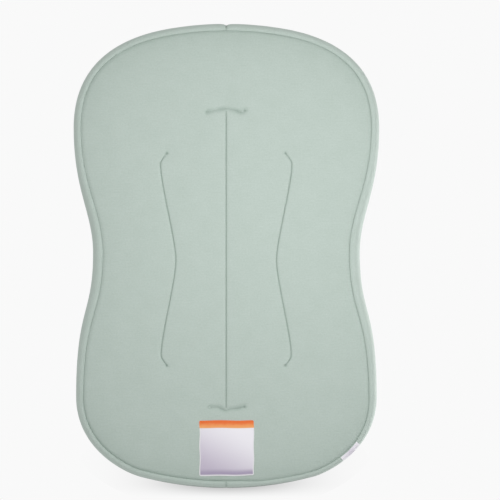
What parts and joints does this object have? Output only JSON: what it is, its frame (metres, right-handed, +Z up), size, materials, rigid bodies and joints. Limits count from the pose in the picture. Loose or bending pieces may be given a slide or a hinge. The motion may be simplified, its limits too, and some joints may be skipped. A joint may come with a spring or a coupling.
{
  "type": "infant lounger",
  "caption": "Waisted oval floor cushion: a stuffed bolster ring round a low padded seat, in a knit cover with a flat stitched base panel and a zip in the foot end.",
  "frame": {"origin": "on the floor under the middle of the lounger", "axes": "+Z up, +Y to the head end, +X to the right seen from the foot end"},
  "size_m": [0.435, 0.66, 0.1],
  "materials": {
    "knit": "matt sage-grey heathered knit",
    "stuffing": "soft white fibre in a thin case",
    "satin": "plain white label cloth",
    "webbing": "woven tape, a shade darker than the knit",
    "nylon": "satin nylon",
    "zinc": "satin die-cast metal"
  },
  "bodies": {
    "lounger": {"cover_base_panel": "knit", "cover_rim_right": "knit", "cover_rim_left": "knit", "cover_top_right": "knit", "cover_top_left": "knit", "cover_seat_right": "knit", "cover_seat_left": "knit", "insert_base_pad": "stuffing", "insert_bolster_right": "stuffing", "insert_bolster_left": "stuffing", "insert_seat_right": "stuffing", "insert_seat_left": "stuffing", "care_label": "satin", "side_tag": "satin", "zip_tape_upper": "webbing", "zip_tape_lower": "webbing", "zip_teeth_upper": "nylon", "zip_teeth_lower": "nylon", "zip_end_stop_upper": "zinc", "zip_end_stop_lower": "zinc", "zip_start_stop": "zinc", "zip_end_tab": "knit"},
    "slider": {"zip_slider": "zinc"},
    "pull": {"zip_pull": "zinc"}
  },
  "joints": [
    {"name": "zip_slider_travel", "type": "hinge", "parent": "lounger", "child": "slider", "pos_m": [0, 0.15, 0.06], "axis": [0, 0, -1], "range_deg": [0, 25.9], "deforming": ["zip_teeth_upper", "zip_teeth_lower"]},
    {"name": "zip_pull_swing", "type": "hinge", "parent": "slider", "child": "pull", "pos_m": [0.10715, -0.31234, 0.06154], "axis": [0.1337, -0.5768, -0.8058], "range_deg": [0, 165]}
  ]
}
